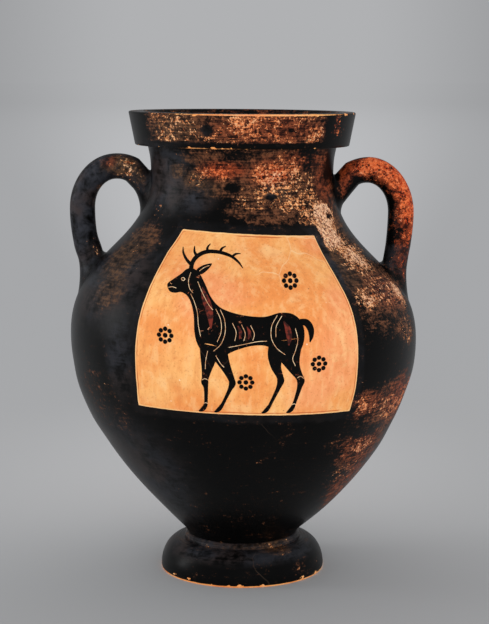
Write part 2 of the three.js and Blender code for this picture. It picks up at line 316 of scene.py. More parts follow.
WALL_WEAR_AND_SHEEN = {
    "filmed": [
        (-34, 390, 19, 19, 1.0), (12, 390, 36, 20, 0.92), (-12, 350, 17, 12, 0.95), (-42, 352, 9, 7, 0.8),
        (-14, 340, 14, 13, 0.72), (20, 342, 27, 32, 0.90), (60, 330, 16, 18, 0.7), (56, 300, 20, 34, 0.95),
        (-60, 280, 12, 24, 0.86), (-54, 254, 9, 16, 0.80), (60, 262, 22, 26, 0.92), (66, 225, 9, 16, 0.6),
        (64, 160, 20, 28, 0.72), (46, 167, 10, 12, 0.78), (-28, 346, 11, 11, 0.9), (-52, 290, 9, 15, 0.72),
        (55, 122, 15, 26, 0.66), (60, 92, 13, 26, 0.66), (-54, 160, 13, 34, 0.22), (-6, 322, 6, 5, 0.6),
        (50, 238, 9, 13, 0.5), (-24, 363, 14, 8, 0.66), (54, 356, 9, 14, 0.7),
        (176, 387, 46, 13, 0.8), (-120, 386, 20, 11, 0.5), (168, 342, 34, 26, 0.8), (-150, 338, 20, 18, 0.5),
        (118, 286, 17, 28, 0.62), (-128, 284, 18, 30, 0.7), (130, 216, 12, 26, 0.6), (110, 122, 17, 32, 0.7),
        (-112, 176, 16, 34, 0.5), (-140, 120, 18, 24, 0.5), (168, 96, 30, 18, 0.5),
    ],
    "worn": [
        (-36, 388, 16, 19, 0.62), (-16, 382, 12, 12, 0.54), (8, 388, 32, 19, 0.58), (34, 387, 13, 19, 0.63),
        (54, 388, 9, 13, 0.34), (-28, 348, 9, 8, 0.56), (45, 166, 8, 10, 0.56),
        (-13, 353, 13, 8, 0.70), (18, 350, 13, 11, 0.92), (34, 350, 5, 12, 0.80), (24, 334, 18, 16, 0.64),
        (6, 331, 15, 11, 0.56), (40, 330, 12, 24, 0.64), (30, 363, 18, 8, 0.42), (54, 317, 13, 11, 1.0),
        (51, 301, 14, 13, 1.0), (60, 284, 13, 16, 0.82), (48, 253, 8, 9, 0.80), (61, 257, 13, 14, 0.70),
        (73, 253, 5, 13, 0.86), (66, 222, 6, 11, 0.56), (52, 163, 10, 11, 0.62), (64, 156, 12, 12, 0.55),
        (76, 168, 10, 12, 0.70), (51, 127, 9, 11, 0.64), (49, 104, 8, 10, 0.54), (62, 92, 10, 20, 0.40),
        (-48, 180, 4, 6, 0.36), (-51, 151, 3, 5, 0.36), (-56, 318, 9, 7, 0.32), (-54, 284, 6, 7, 0.34),
        (176, 387, 40, 10, 0.5), (-120, 386, 14, 9, 0.3), (165, 346, 24, 12, 0.6), (150, 330, 16, 12, 0.5),
        (121, 272, 11, 13, 0.56), (108, 318, 10, 11, 0.46), (-128, 290, 12, 16, 0.5), (130, 214, 8, 18, 0.5),
        (112, 112, 12, 22, 0.56), (122, 150, 9, 12, 0.40), (-112, 176, 8, 18, 0.36),
        (-140, 120, 10, 14, 0.36), (168, 96, 20, 10, 0.36),
    ],
    "reddened": [
        (16, 387, 32, 12, 0.45), (-12, 354, 14, 7, 0.9), (18, 352, 14, 11, 0.6), (76, 168, 20, 26, 0.6),
        (54, 388, 7, 12, 0.8), (46, 166, 10, 14, 0.4),
        (66, 92, 20, 34, 0.5), (50, 127, 14, 16, 0.4), (64, 256, 12, 14, 0.3), (40, 362, 20, 8, 0.5),
        (62, 345, 12, 20, 0.6), (170, 387, 40, 12, 0.7), (165, 346, 26, 14, 0.6), (114, 122, 26, 40, 0.7),
        (-128, 284, 16, 20, 0.4),
    ],
    "bleached": [
        (54, 318, 12, 11, 1.0), (49, 301, 12, 11, 0.9), (73, 253, 6, 13, 0.7), (48, 253, 8, 9, 0.7),
        (34, 350, 4, 10, 0.5), (-30, 387, 10, 10, 0.5), (46, 388, 3, 10, 0.8), (20, 345, 8, 8, 0.5),
        (60, 284, 14, 18, 0.7), (64, 254, 8, 14, 0.6), (51, 127, 9, 11, 0.5), (56, 160, 14, 10, 0.4),
        (122, 270, 8, 9, 0.4), (-128, 290, 8, 12, 0.5),
    ],
    # Greyed spots on the left of the neck, the left shoulder, beside the panel's left edge, low on the left
    # and at the right flank's edge paint grey sheen where light reflects, on top of dulled slip.
    "greyed": [
        (-56, 345, 26, 26, 0.9), (-34, 387, 16, 10, 0.6), (-60, 267, 20, 34, 0.9), (-43, 204, 5, 32, 0.55),
        (44, 285, 8, 24, 0.7),
        (70, 290, 12, 24, 0.5), (22, 337, 8, 7, 0.7), (78, 142, 14, 10, 0.4), (-50, 100, 22, 44, 0.5),
        (-42, 352, 9, 6, 0.5), (-30, 336, 13, 16, 0.85), (-150, 338, 26, 22, 0.7), (-112, 176, 18, 34, 0.6),
        (140, 320, 12, 16, 0.5),
    ],
    "kept": [
        (-17.5, 387, 3.0, 4.5, 1.0), (-6, 340, 5.0, 4.5, 1.0), (59, 316, 3.4, 2.6, 0.55),
        (17, 332, 3.4, 2.6, 0.9), (25, 387, 1.8, 2.0, 0.9), (-12, 328, 7.0, 4.0, 0.8),
        (50, 388, 3.6, 12, 0.9), (152, 384, 3.4, 4.0, 1.0), (172, 336, 6.0, 4.0, 1.0),
        (52, 205, 11, 16, 1.0), (49, 142, 9, 5, 0.8),
    ],
}


def spots(table, turn, level):
    """The strongest of strength times exp(-d^4), d being the distance in half widths."""
    found = np.zeros(np.shape(turn))
    for at_turn, at_level, half_turn, half_level, strength in table:
        off_turn = (turn - at_turn + 180.0) % 360.0 - 180.0
        away = (off_turn / half_turn) ** 2 + ((level - at_level) / half_level) ** 2
        found = np.maximum(found, strength * np.exp(-(away ** 2) * 0.7))
    return found


def marks(turn, level, tables=WALL_WEAR_AND_SHEEN):
    """What the worn slip's materials read at each point of the outside."""
    values = {name: spots(table, turn, level) for name, table in tables.items()}
    kept = values.pop("kept")
    values["filmed"] *= 1 - kept
    values["worn"] *= 1 - kept
    values["dull"] = np.zeros(np.shape(turn))
    return values


# The reserved panel of the front, and its twin behind

def panel_inset(turn, level):
    """How far a point lies inside the panel, in millimetres, negative outside it.

    Its sides are turns that widen a little towards the top, and its top and bottom are levels
    that fall a little towards +X.
    """
    left = np.interp(level, [160.0, 287.0, 305.0], [-35.7, -34.7, -32.0])
    right = np.interp(level, [160.0, 265.0, 305.0], [37.7, 38.4, 39.9])
    bottom = 164.3 - 0.026 * turn
    top = 303.4 - 0.030 * turn
    across = np.radians(1.0) * outer_radius(level)
    return np.minimum.reduce([(turn - left) * across, (right - turn) * across, level - bottom, top - level])


def back_turn(turn):
    """The turn of a point as seen from behind."""
    return turn % 360.0 - 180.0


# Pieces of revolution

def foot():
    """A low rounded foot: a cubic side, a flat top under the body and a hollow below."""
    edge = (FOOT_RADIUS - 0.8, 0.0)
    side = joined(
        bezier([edge, (71.2, 0.2), (FOOT_RADIUS, 1.6), (FOOT_RADIUS, 3.5)], 40),
        bezier([(FOOT_RADIUS, 3.5), (FOOT_RADIUS, 10.8), (67.6, FOOT_TOP), (FOOT_SEAT, FOOT_TOP)], 200),
    )
    ridged = between(side[:, 0], (FOOT_SEAT, FOOT_SEAT + 1.0), (56.0, 64.0))
    side[:, 1] -= 0.16 * ridged * np.cos(side[:, 0] * 2 * math.pi / RIDGE)
    recess_top, recess_foot = (RECESS_FLAT, RECESS_RISE), (RECESS_EDGE, 0.0)
    runs = [
        even(side, 0.7),
        line((FOOT_SEAT, FOOT_TOP), (THROAT_RADIUS, FOOT_TOP), 4),
        line((THROAT_RADIUS, FOOT_TOP), (THROAT_RADIUS, RECESS_RISE), 4),
        line((THROAT_RADIUS, RECESS_RISE), recess_top, 3),
        even(bezier([recess_top, (53.2, RECESS_RISE), (RECESS_EDGE, 7.7), recess_foot], 60), 1.0),
        line(recess_foot, edge, 6),
    ]
    piece, turn, level, run = thrown("turned_foot", runs)
    under = run > 0
    top = smooth_step(level, 24.0, 26.6) * ~under
    streak = spots([(34, 26, 12, 3, 1.0), (-150, 26, 20, 3, 1.0)], turn, level)
    return marked(
        piece, marks(turn, level),
        filmed=0.04 + 0.30 * top + 0.36 * streak,
        worn=0.02 + 0.06 * top + 0.20 * streak,
        greyed=0.7 * smooth_step(level, 14.0, 25.0),
        bare=np.where(under, ALL_CLAY, 1.3 - level),
        dull=under,
    )


def foot_coil():
    """The coil of clay round the joint: a quarter-round bead that hugs the body's flare."""
    hug = stretch(lambda z: outer_radius(z) + 0.05, FOOT_TOP, COIL_TOP, 0.7)
    bead = bezier([(COIL_RADIUS, FOOT_TOP), (COIL_RADIUS, 29.6), (50.2, 31.0), tuple(hug[-1])], 40)
    bead[:, 0] += 0.22 * np.sin((bead[:, 1] - FOOT_TOP) * 2 * math.pi / RIDGE) ** 2
    bead[-1], bead[0] = hug[-1], (COIL_RADIUS, FOOT_TOP)
    runs = [even(bead, 0.5), hug[::-1], line(tuple(hug[0]), (COIL_RADIUS, FOOT_TOP), 3)]
    piece, turn, level, _ = thrown("joint_coil", runs)
    streak = spots([(32, 29, 12, 6, 1.0), (-150, 29, 20, 6, 1.0)], turn, level)
    return marked(
        piece, marks(turn, level),
        filmed=0.46 + 0.16 * np.sin(np.radians(turn * 3 + 40)) + 0.2 * streak,
        worn=0.10 + 0.06 * np.sin(np.radians(turn * 7)) + 0.24 * streak,
        greyed=0.8,
        bare=ALL_SLIP,
    )


def lower_body():
    """The first thrown section, from its flat base to the joint below the belly."""
    inner_top = (inner_radius(BODY_JOINT), BODY_JOINT)
    inner_low = (inner_radius(INNER_LOW), INNER_LOW)
    floor_edge = (26.0, BODY_FLOOR)
    hollow = bezier([inner_low, (inner_low[0] - 8.4, 38.6), (38.0, BODY_FLOOR), floor_edge], 30)
    runs = [
        line((0.0, FOOT_TOP), (BASE_RADIUS, FOOT_TOP), 16),
        stretch(outer_radius, FOOT_TOP, BODY_JOINT, ROW_STEP),
        line((outer_radius(BODY_JOINT), BODY_JOINT), inner_top, 4),
        stretch(inner_radius, INNER_LOW, BODY_JOINT, 3.0)[::-1],
        even(hollow, 2.0),
        line(floor_edge, (0.0, BODY_FLOOR), 8),
    ]
    piece, turn, level, run = thrown("lower_wall", runs)
    outside = run == 1
    return marked(piece, marks(turn, level), bare=np.where(outside, ALL_SLIP, ALL_CLAY), dull=~outside)


def wall_ring(name, low, high, step, inner_step):
    """A ring of wall between two levels, with flat seams."""
    runs = [
        stretch(outer_radius, low, high, step),
        line((outer_radius(high), high), (inner_radius(high), high), 4),
        stretch(inner_radius, low, high, inner_step)[::-1],
        line((inner_radius(low), low), (outer_radius(low), low), 4),
    ]
    return thrown(name, runs)


def upper_body():
    """The second thrown section: belly and shoulder, with the painted panels."""
    piece, turn, level, run = wall_ring("upper_wall", BODY_JOINT, NECK_JOINT, ROW_STEP, 3.0)
    panels = np.maximum(panel_inset(turn, level), panel_inset(back_turn(turn), level))
    bare = np.where(run == 0, np.maximum(panels, ALL_SLIP), ALL_CLAY)
    return marked(piece, marks(turn, level), bare=bare, dull=run != 0)


def neck():
    """The neck, slipped inside as far down as a brush reaches."""
    piece, turn, level, run = wall_ring("neck_wall", NECK_JOINT, LIP_BASE, 1.2, 1.6)
    brushed_to = 332.0 + 3.0 * np.sin(np.radians(3 * turn)) + 1.2 * np.sin(np.radians(11 * turn))
    bare = np.where(run == 0, ALL_SLIP, brushed_to - level)
    return marked(piece, marks(turn, level), bare=bare, dull=run != 0)


def lip():
    """A flaring lip: a straight outer face with rounded edges and a hollow mouth."""
    flare = (LIP_TOP_RADIUS - LIP_BASE_RADIUS) / (RIM - LIP_BASE)
    throat = (inner_radius(LIP_BASE), LIP_BASE)
    top_edge = (LIP_TOP_RADIUS - 1.6 * flare, RIM - 1.6)
    rim_outer = (LIP_TOP_RADIUS - 1.7, RIM)
    rim_inner = (LIP_TOP_RADIUS - 1.5 - RIM_WIDTH, RIM)
    low_edge = (LIP_BASE_RADIUS - 0.2 + 0.9 * flare, LIP_BASE + 0.9)
    face = line(low_edge, top_edge, 80)
    hollow = bezier([rim_inner, (77.2, 391.5), (74.2, 380.0), throat], 60)
    outside = joined(
        bezier([(LIP_BASE_RADIUS - 1.0, LIP_BASE), (91.5, LIP_BASE), (91.8, 371.8), low_edge], 12),
        face,
        bezier([top_edge, (LIP_TOP_RADIUS, RIM - 0.8), (LIP_TOP_RADIUS - 0.7, RIM), rim_outer], 16),
    )
    runs = [
        even(outside, 0.7),
        even(line(rim_outer, rim_inner, 20), 1.2),
        even(hollow, 1.2),
        line(throat, (LIP_BASE_RADIUS - 1.0, LIP_BASE), 10),
    ]
    piece, turn, level, run = thrown("flared_lip", runs)
    values = marks(turn, level)
    outer_face = run == 0
    face_only = outer_face * smooth_step(level, LIP_BASE + 3.4, LIP_BASE + 6.4)
    upper_line = 0.35 + 0.35 * np.sin(np.radians(2.3 * turn + 60)) - np.abs(level - (RIM - 0.8))
    rubbed = spots([(-13, LIP_BASE, 27, 9, 0.75), (170, LIP_BASE, 40, 9, 0.7)], turn, level)
    lower_line = rubbed - 0.45 - np.abs(level - (LIP_BASE + 0.5))
    return marked(
        piece, values,
        worn=np.where(outer_face, values["worn"] * face_only, 0.16),
        filmed=np.where(outer_face, values["filmed"] * face_only, 0.30),
        bare=np.where(outer_face, np.maximum(upper_line, lower_line), ALL_SLIP),
    )


# Handles. Angles of the roots are above level, distances are along the handle's axis.

HANDLES = {  # a fairing's reach on the wall is outside the loop, inside it, and to its sides
    "left": {
        "side": -1, "radius": 10.8, "reach": 137.8, "upright": 318.0, "arch": 353.2,
        "top_share": 0.513, "neck_root": 333.5, "shoulder_root": 263.0,
        "neck_fairing": (3.0, 15.0, 9.0), "shoulder_fairing": (20.0, 4.0, 10.0),
    },
    "right": {
        "side": 1, "radius": 11.0, "reach": 136.9, "upright": 313.0, "arch": 350.2,
        "top_share": 0.504, "neck_root": 330.5, "shoulder_root": 262.0,
        "neck_fairing": (3.0, 5.0, 9.0), "shoulder_fairing": (17.0, 4.0, 10.0),
    },
}
HANDLE_SIDES = 56
HANDLE_STEP = 2.0
ROOT_DEPTH = 13.0
NECK_ROOT_ANGLE = math.radians(48)
SHOULDER_ROOT_ANGLE = math.radians(70)
ROOT_START = {"neck": 22.0, "shoulder": 24.0}  # where the rod ends and its fairing starts
ROOT_SWELL = 3.4  # how much thicker the rod is at its roots, and over which length it swells
SWELL_LENGTH = 30.0
HOLLOWNESS = 0.42  # 0 is a flat fairing, and 1 one that runs into the corner
EDGE_SUNK = 0.22  # how far a fairing's edge lies under the wall, then its cap's rim and pole
CAP_SUNK = 0.9
POLE_SUNK = 2.0
QUARTER_ARM = 0.5523  # the arm of a cubic that draws a quarter of a circle, as a share of its radius


def handle_path(handle):
    """Three joined cubics of reach and level: neck root, arch's top, upright, shoulder root."""
    def root(level, angle):
        out = np.array([math.cos(angle), math.sin(angle)])
        return np.array([outer_radius(level), level]) - ROOT_DEPTH * out, out

    start, leaving = root(handle["neck_root"], NECK_ROOT_ANGLE)
    end, arriving = root(handle["shoulder_root"], SHOULDER_ROOT_ANGLE)
    top_reach = NECK_RADIUS + handle["top_share"] * (handle["reach"] - NECK_RADIUS)
    top = np.array([top_reach, handle["arch"]])
    upright = np.array([handle["reach"], handle["upright"]])
    climb, fall = np.linalg.norm(start - top), np.linalg.norm(upright - end)
    out, up = np.array([1.0, 0.0]), np.array([0.0, 1.0])
    return joined(
        bezier([start, start + 0.4 * climb * leaving, top - 0.4 * climb * out, top], 200),
        bezier([top, top + QUARTER_ARM * (handle["reach"] - top_reach) * out,
                upright + QUARTER_ARM * (handle["arch"] - handle["upright"]) * up, upright], 200),
        bezier([upright, upright - 0.3 * fall * up, end + 0.42 * fall * arriving, end], 200),
    )


def in_space(plane_points, side):
    """Points of reach and level as points in space, on the side of -X or +X."""
    return np.stack([side * plane_points[..., 0], 0 * plane_points[..., 0], plane_points[..., 1]], axis=-1)


def unit(vectors):
    """Each vector divided by its length."""
    return vectors / np.linalg.norm(vectors, axis=-1, keepdims=True)


def wall_normal(points):
    """The outward normal of the body's wall at each point's turn and level."""
    level = points[..., 2]
    slope = (outer_radius(level + 0.4) - outer_radius(level - 0.4)) / 0.8
    flat = np.hypot(points[..., 0], points[..., 1])
    return unit(np.stack([points[..., 0] / flat, points[..., 1] / flat, -slope], axis=-1))


def on_wall(points):
    """Each point moved level to the body's wall."""
    share = outer_radius(points[..., 2]) / np.hypot(points[..., 0], points[..., 1])
    return np.stack([points[..., 0] * share, points[..., 1] * share, points[..., 2]], axis=-1)


def meet_wall(points, direction):
    """Where each point, going along the direction, meets the wall, found by halving."""
    near, far = np.zeros(len(points)), np.full(len(points), 70.0)
    for _ in range(40):
        middle = (near + far) / 2
        there = points + middle[:, None] * direction
        outside = np.hypot(there[:, 0], there[:, 1]) > outer_radius(there[:, 2])
        near, far = np.where(outside, middle, near), np.where(outside, far, middle)
    return points + near[:, None] * direction


def fairing(ring, direction, phi, reaches):
    """Rows that lead a ring of the handle onto the wall, ending just under its surface.

    Each point runs straight along the direction, then along a cubic whose handles point at
    where the line meets the wall, and lands on the wall at its reach away from the axis.
    """
    outer, inner, beside = reaches
    facing = np.cos(phi)
    reach = beside + (outer - beside) * np.clip(facing, 0, 1) ** 1.5
    reach = reach + (inner - beside) * np.clip(-facing, 0, 1) ** 1.5
    hit = meet_wall(ring, direction)
    centre = on_wall(hit.mean(axis=0))
    normal = wall_normal(hit)
    away = hit - centre
    away = unit(away - np.sum(away * normal, axis=1, keepdims=True) * normal)
    foot_point = on_wall(hit + reach[:, None] * away)
    foot_point = foot_point - EDGE_SUNK * wall_normal(foot_point)
    room = np.linalg.norm(hit - ring, axis=1) * 0.92
    start = hit - direction * np.minimum(reach * 1.15, room)[:, None]
    rows = [ring + share * (start - ring) for share in np.linspace(0, 1, 5)[1:]]
    bend_a = start + HOLLOWNESS * (hit - start)
    bend_b = foot_point + HOLLOWNESS * (hit - foot_point)
    rows += [cubic(t, start, bend_a, bend_b, foot_point) for t in np.linspace(0, 1, 16)[1:]]
    under = foot_point - CAP_SUNK * wall_normal(foot_point)
    rows.append(under + 0.12 * (centre - under))
    return rows, centre - POLE_SUNK * wall_normal(centre)


def rod(settings, phi):
    """The rings of a round rod along the handle's path, a little uneven as rolled clay is.

    A ring's point lies at the radius times cos(phi) out of the loop and sin(phi) to the front.
    The radius swells towards the roots by the square of how near they are.
    """
    side = settings["side"]
    path = handle_path(settings)
    along = lengths(path)
    start, end = ROOT_DEPTH + ROOT_START["neck"], along[-1] - ROOT_DEPTH - ROOT_START["shoulder"]
    distance = np.linspace(start, end, int((end - start) / HANDLE_STEP))
    axis = read_at(distance, along, path)
    tangent = unit(read_at(distance, along, unit(np.gradient(path, axis=0))))
    outward = np.stack([-tangent[:, 1], tangent[:, 0]], axis=1)
    to_wall = np.minimum(distance, along[-1] - distance) - ROOT_DEPTH
    swell = ROOT_SWELL * np.clip(1 - to_wall / SWELL_LENGTH, 0, 1)[:, None] ** 2
    swell = swell * (0.65 + 0.35 * np.cos(phi))
    rolled = (0.16 * np.sin(distance[:, None] / 13.0 + side) * np.cos(phi)
              + 0.12 * np.cos(distance[:, None] / 8.5 + 2 * phi))
    out = np.cos(phi)[None, :, None] * in_space(outward, side)[:, None]
    front = np.sin(phi)[None, :, None] * np.array([0.0, -1.0, 0.0])
    return in_space(axis, side)[:, None] + (settings["radius"] + swell + rolled)[..., None] * (out + front)


def handle(name):
    """A rod with a fairing at each root, closed by a pole under the wall.

    Close to the wall it leans as the wall does and has the wall's wear, and further out it
    stands straight and has its own.
    """
    settings = HANDLES[name]
    phi = np.arange(HANDLE_SIDES) * 2 * math.pi / HANDLE_SIDES
    rings = rod(settings, phi)
    ends = []
    for ring, root in ((rings[0], "neck"), (rings[-1], "shoulder")):
        level = settings[root + "_root"]
        wall = in_space(np.array([outer_radius(level), level]), settings["side"])
        ends.append(fairing(ring, unit(wall - ring.mean(axis=0)), phi, settings[root + "_fairing"]))
    (neck_rows, neck_pole), (low_rows, low_pole) = ends
    grid = np.stack(neck_rows[::-1] + list(rings) + low_rows)
    count = len(grid)
    points = np.vstack([grid.reshape(-1, 3), neck_pole, low_pole])
    share = np.concatenate([np.zeros(len(neck_rows)), np.linspace(0, 1, len(rings)), np.ones(len(low_rows))])
    shares = np.append(np.repeat(share, HANDLE_SIDES), [0, 1])
    phis = np.append(np.tile(np.degrees(phi), count), [0, 0])
    off_wall = np.hypot(points[:, 0], points[:, 1]) - outer_radius(points[:, 2])
    off_wall[-2:] = 0.0
    faces = ring_quads(count, HANDLE_SIDES, False).tolist()
    faces += fan(count * HANDLE_SIDES, 0, HANDLE_SIDES, False)
    faces += fan(count * HANDLE_SIDES + 1, (count - 1) * HANDLE_SIDES, HANDLE_SIDES, True)
    if settings["side"] < 0:
        faces = [face[::-1] for face in faces]
    held = 1 - smooth_step(off_wall, 3.0, 38.0)
    piece = new_mesh(name + "_handle", settle(points, held), faces, 60.0)
    near = 1 - smooth_step(off_wall, 0.5, 9.0)
    values = marks(turn_of(points), points[:, 2])
    own = marks(phis, 100 * shares, HANDLE_WEAR_AND_SHEEN[name])
    values = {mark: near * values[mark] + (1 - near) * own[mark] for mark in own}
    return marked(piece, values, bare=ALL_SLIP)


# Wear and painted sheen of the handles: turn round the rod (0 out of the loop, 90 front), hundredths of
# the way from the neck to the shoulder, half widths of both, and strength.

HANDLE_WEAR_AND_SHEEN = {
    "left": {
        "filmed": [(75, 12, 56, 15, 1.0), (165, 42, 34, 6, 0.6), (150, 62, 36, 7, 0.46),
                   (120, 98, 30, 4, 0.4), (-110, 55, 50, 20, 0.5)],
        "worn": [(78, 9, 56, 15, 0.44), (20, 27, 40, 5, 0.24), (165, 42, 30, 5, 0.5),
                 (150, 62, 32, 5, 0.36), (120, 98, 36, 4, 0.44), (-110, 55, 44, 16, 0.34)],
        "reddened": [(60, 20, 30, 5, 0.6)],
        "bleached": [(90, 8, 60, 12, 0.9), (165, 42, 30, 5, 0.5), (120, 98, 40, 6, 0.6)],
        # The wide greyed spot paints grey sheen of reflected light over most of the left rod.
        "greyed": [(80, 12, 60, 22, 0.9), (150, 55, 50, 20, 0.8), (50, 60, 110, 70, 1.0)],
        "kept": [],
    },
    "right": {
        "filmed": [(30, 40, 130, 60, 1.0), (-80, 50, 60, 40, 0.8), (60, 96, 60, 9, 0.6)],
        "worn": [(28, 36, 120, 30, 0.92), (30, 62, 110, 20, 0.96), (78, 9, 30, 9, 0.9),
                 (56, 90, 80, 12, 0.57), (-80, 50, 50, 30, 0.6)],
        "reddened": [(30, 50, 120, 90, 1.0), (-90, 50, 70, 60, 0.9)],
        # The narrow bleached spot at 98 round and 77 along paints a pale highlight.
        "bleached": [(130, 6, 30, 4, 0.6), (98, 77, 10, 4, 0.7)],
        "greyed": [(112, 72, 20, 10, 0.3), (60, 103, 120, 4, 0.8)],
        "kept": [(180, 45, 62, 80, 0.92), (146, 90, 42, 9, 0.8), (120, 79, 10, 3, 0.5),
                 (100, 90, 22, 6, 0.55), (162, 3, 52, 8, 0.9), (-14, 20, 28, 22, 0.85)],
    },
}


# Figures of the panels: outlines in millimetres, across and up from the ground line

STAG_BODY = [
    (-65.5, 98.6), (-65.6, 101.8), (-60.5, 105.6), (-54.5, 109.6), (-49.5, 113.6), (-44, 114.4),
    (-38.5, 110.6), (-34, 103), (-29.5, 94), (-22.5, 87), (-12, 83), (2, 80.6), (15, 80.4),
    (27, 83.4), (37.5, 82.2), (44.5, 76), (47, 66.5), (45, 56), (39, 47.5), (31, 45.5), (24, 50.5),
    (16, 57), (4, 57.2), (-9, 53.4), (-19, 48.6), (-28, 47), (-36, 50.5), (-41.2, 58.5),
    (-43.2, 68), (-43.6, 78), (-45.4, 87), (-48.6, 93.2), (-53.6, 96.2), (-59.5, 95.4), (-63.6, 96),
]
STAG_EAR = [(-41.5, 113.2), (-36, 117.2), (-28.5, 119), (-31.5, 114.6), (-37.6, 110.4)]
STAG_LIMBS = [  # centre lines with half widths: legs and hooves, tail, antlers
    [(-30, 57, 9), (-31.6, 46, 6.6), (-33.2, 36, 4.0), (-34.4, 28.6, 2.8), (-34.6, 25.6, 3.0),
     (-33.8, 21.5, 1.9), (-33.4, 14, 1.5), (-33.2, 7.6, 1.5), (-33.6, 5.4, 1.9)],
    [(-33.4, 5.6, 1.7), (-34.8, 3.2, 1.9), (-36.6, 1.5, 1.5), (-38.6, 0.5, 0.5)],
    [(-24, 54, 8), (-20, 44.6, 5.4), (-15.8, 36, 3.5), (-12.6, 28.6, 2.6), (-12.2, 25.4, 2.8),
     (-14, 20.8, 1.8), (-17, 13.6, 1.4), (-19.4, 7.6, 1.4), (-20.6, 5.4, 1.8)],
    [(-20.4, 5.6, 1.6), (-22, 3.2, 1.8), (-23.8, 1.5, 1.4), (-25.8, 0.5, 0.5)],
    [(33, 62, 12.5), (34.6, 50, 9.4), (38, 40, 5.4), (42.6, 31.6, 3.2), (44, 27.6, 3.2),
     (43, 22.6, 2.1), (41, 14.6, 1.6), (39.2, 7.6, 1.5), (38.4, 5.4, 1.9)],
    [(38.6, 5.6, 1.7), (37.2, 3.2, 1.9), (35.4, 1.5, 1.5), (33.4, 0.5, 0.5)],
    [(27, 60, 9), (23.6, 50, 7), (23.4, 41, 4.4), (26.6, 32.4, 2.8), (27.4, 28.2, 2.9),
     (25.6, 22.6, 1.9), (22.2, 14.6, 1.5), (19.4, 7.6, 1.4), (18.2, 5.4, 1.8)],
    [(18.4, 5.6, 1.6), (16.8, 3.2, 1.8), (15, 1.5, 1.4), (13, 0.5, 0.5)],
    [(43, 76, 2.4), (48.6, 75.2, 2.8), (52, 70.4, 2.7), (52.6, 64.6, 1.9), (51.4, 59.6, 0.4)],
    [(-46, 113.6, 1.9), (-44.6, 119, 1.7), (-40.4, 124, 1.6), (-33, 127.6, 1.5), (-23, 128, 1.4),
     (-13, 125.6, 1.2), (-6.4, 121.2, 0.9), (-2.6, 116.6, 0.3)],
    [(-45.6, 117, 1.4), (-49.6, 120.6, 1.2), (-52.4, 125.4, 0.9), (-52.8, 130, 0.3)],
    [(-40.8, 123.4, 1.3), (-43, 127.2, 1.0), (-43, 131.4, 0.3)],
    [(-32, 127.6, 1.3), (-32, 131, 0.9), (-29.6, 134, 0.3)],
    [(-21.6, 127.6, 1.2), (-20, 130.8, 0.9), (-16.6, 132.8, 0.3)],
    [(-11.6, 124.6, 1.1), (-8.6, 127, 0.8), (-4.4, 127.6, 0.3)],
]
STAG_INCISED = [  # shoulder, haunch, ribs, belly, neck, jaw, mouth, ear, joints
    [(-22, 85), (-18.4, 77), (-18, 67), (-21.4, 58), (-27.4, 52)],
    [(-25.6, 85.4), (-21.6, 77), (-21.2, 68), (-24.4, 59.6)],
    [(24.6, 81.4), (20, 73), (19.8, 63.4), (24, 55.6), (31, 50)],
    [(28.4, 81), (23.8, 73), (23.4, 64.4)],
    [(-12, 75), (-9, 68), (-10, 61)],
    [(-4.6, 74), (-1.6, 67), (-2.8, 61)],
    [(2.8, 73.4), (5.8, 67), (4.6, 61.6)],
    [(-15, 55.6), (-4, 58), (8, 60.6), (16, 61.2)],
    [(-40.4, 105), (-36.6, 97), (-32, 89), (-28, 84.4)],
    [(-46.4, 95.6), (-43.4, 90), (-40.8, 82), (-39.8, 72), (-38, 63.4)],
    [(-46, 111.4), (-48, 105.6), (-47.4, 100), (-44.6, 96.4)],
    [(-65, 98.9), (-61.6, 99.6), (-58.4, 98.9)],
    [(-63.6, 102.4), (-62.2, 101.6)],
    [(-39, 112.8), (-34.6, 115.8), (-30.4, 117.4)],
    [(-37, 27.6), (-34.6, 28.8), (-32, 27.8)],
    [(41.2, 30.6), (43.8, 31.8), (46.6, 29.8)],
    [(39.4, 71), (41.4, 62), (39.4, 53), (37.2, 46.6), (39.4, 40.6)],
    [(-32.2, 52), (-33.8, 44), (-34.2, 37)],
    [(-25.6, 48.6), (-22, 42.6), (-18.8, 39)],
    [(-35, 7.6), (-33.2, 8.2), (-31.6, 7.6)],
    [(37.6, 7.6), (39.2, 8.2), (40.8, 7.6)],
]
STAG_EYE = (-52.6, 106.0)
STAG_RED = [  # bands of added red on neck, ribs and haunch
    [(-36.6, 101, 0.4), (-34.6, 94, 2.8), (-31.6, 86, 3.1), (-30, 78, 2.2), (-29.6, 70, 0.5)],
    [(-7.6, 73, 0.3), (-5.4, 68, 1.3), (-6.2, 62.4, 0.3)],
    [(-0.2, 72.4, 0.3), (2, 67.4, 1.3), (1, 62.4, 0.3)],
    [(30, 76.6, 0.4), (33, 71, 2.2), (34.4, 64, 2.2), (34, 57.6, 0.4)],
]
PANELS = {  # which way a panel faces, how its figure is placed, and where its rosettes lie
    "front": {"facing": -1, "mirror": 1, "scale": 0.965, "shift": 3.0,
              "rosettes": [(38, 104), (2, 26), (-62, 60), (60, 40)]},
    "back": {"facing": 1, "mirror": -1, "scale": 0.965, "shift": 4.0,
             "rosettes": [(-40, 104), (-2, 26), (62, 60), (-62, 44)]},
}
GROUND_LEVEL = 165.6
FIGURE_LIFT = 0.16
LINE_LIFT = 0.20
FIGURE_DEPTH = 0.3
FIGURE_GRID = 3.0
LINE_HALF_WIDTH = 0.23


